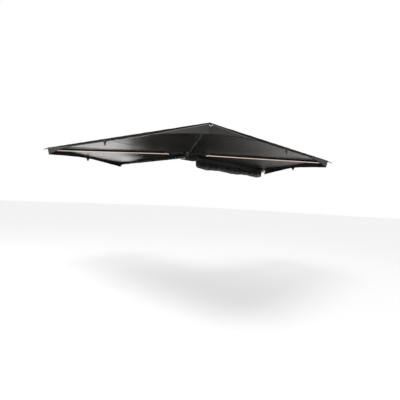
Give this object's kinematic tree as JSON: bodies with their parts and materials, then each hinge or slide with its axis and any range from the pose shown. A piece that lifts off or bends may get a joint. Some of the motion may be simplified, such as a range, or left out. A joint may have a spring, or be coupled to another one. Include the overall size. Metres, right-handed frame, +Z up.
{
  "type": "vehicle side awning",
  "caption": "Freestanding fan awning for the side of a vehicle: arms that swing on one upright pin, cloth panels with deep corner valances, under-arm light strips and a mounting rail.",
  "frame": {"origin": "on the axis of the hub pin, on the flat underside of the hub foot, which lies on the vehicle's roof rack", "axes": "+X along the mounting rail and arm A, away from the hub; +Y towards the vehicle; +Z up, along the hub pin"},
  "size_m": [3.5165, 3.8034, 0.236],
  "materials": {
    "coated_steel": "black powder coat, fine texture",
    "zinc_steel": "bright zinc plate",
    "anodised_aluminium": "black anodised extrusion, satin",
    "black_plastic": "moulded, matt",
    "grey_plastic": "moulded, light grey",
    "nylon": "natural nylon",
    "canopy_cloth": "dark grey ripstop polyester with black hems",
    "cover_cloth": "black coated fabric, slight sheen",
    "webbing": "black woven webbing",
    "light_lens": "milky diffuser"
  },
  "bodies": {
    "base": {"hub_foot": "coated_steel", "hub_pin": "zinc_steel", "hub_nut": "zinc_steel", "thrust_washer_1": "nylon", "thrust_washer_2": "nylon", "thrust_washer_3": "nylon", "thrust_washer_4": "nylon", "thrust_washer_5": "nylon", "mounting_rail": "anodised_aluminium", "rail_cap_rear": "black_plastic", "rail_cap_front": "grey_plastic", "rail_bracket_1": "coated_steel", "rail_bracket_2": "coated_steel", "rail_bracket_3": "coated_steel", "arm_a_saddle_1": "coated_steel", "arm_a_saddle_2": "coated_steel", "arm_a_saddle_3": "coated_steel", "arm_a_tube": "anodised_aluminium", "arm_a_tip_cap": "black_plastic", "arm_a_inner_cap": "black_plastic", "canopy_ab": "canopy_cloth", "pull_tab_ab": "webbing", "canopy_crown": "canopy_cloth", "cover_bead": "black_plastic", "travel_cover": "cover_cloth"},
    "arm_b": {"arm_b_knuckle": "coated_steel", "arm_b_tube": "anodised_aluminium", "arm_b_tip_cap": "black_plastic", "arm_b_bolt": "zinc_steel", "corner_loop_b": "webbing", "corner_ring_b": "zinc_steel", "light_channel_b": "anodised_aluminium", "light_lens_b": "light_lens", "canopy_bc": "canopy_cloth", "pull_tab_bc": "webbing"},
    "arm_c": {"arm_c_knuckle": "coated_steel", "arm_c_tube": "anodised_aluminium", "arm_c_tip_cap": "black_plastic", "arm_c_bolt": "zinc_steel", "corner_loop_c": "webbing", "corner_ring_c": "zinc_steel", "canopy_cd": "canopy_cloth", "pull_tab_cd": "webbing"},
    "arm_d": {"arm_d_knuckle": "coated_steel", "arm_d_tube": "anodised_aluminium", "arm_d_tip_cap": "black_plastic", "arm_d_bolt": "zinc_steel", "corner_loop_d": "webbing", "corner_ring_d": "zinc_steel", "light_channel_d": "anodised_aluminium", "light_lens_d": "light_lens", "canopy_de": "canopy_cloth", "pull_tab_de": "webbing"},
    "arm_e": {"arm_e_knuckle": "coated_steel", "arm_e_tube": "anodised_aluminium", "arm_e_tip_cap": "black_plastic", "arm_e_bolt": "zinc_steel", "corner_loop_e": "webbing", "corner_ring_e": "zinc_steel"}
  },
  "joints": [
    {"name": "arm_b_swing", "type": "hinge", "parent": "base", "child": "arm_b", "pos_m": [0, 0, 0], "axis": [0, 0, 1], "range_deg": [0, 40], "deforming": ["canopy_ab", "pull_tab_ab"]},
    {"name": "arm_c_swing", "type": "hinge", "parent": "arm_b", "child": "arm_c", "pos_m": [0, 0, 0], "axis": [0, 0, 1], "range_deg": [0, 90.5], "deforming": ["canopy_bc", "pull_tab_bc"]},
    {"name": "arm_d_swing", "type": "hinge", "parent": "arm_c", "child": "arm_d", "pos_m": [0, 0, 0], "axis": [0, 0, 1], "range_deg": [0, 104], "deforming": ["canopy_cd", "pull_tab_cd"]},
    {"name": "arm_e_swing", "type": "hinge", "parent": "arm_d", "child": "arm_e", "pos_m": [0, 0, 0], "axis": [0, 0, 1], "range_deg": [0, 43], "deforming": ["canopy_de", "pull_tab_de"]}
  ]
}
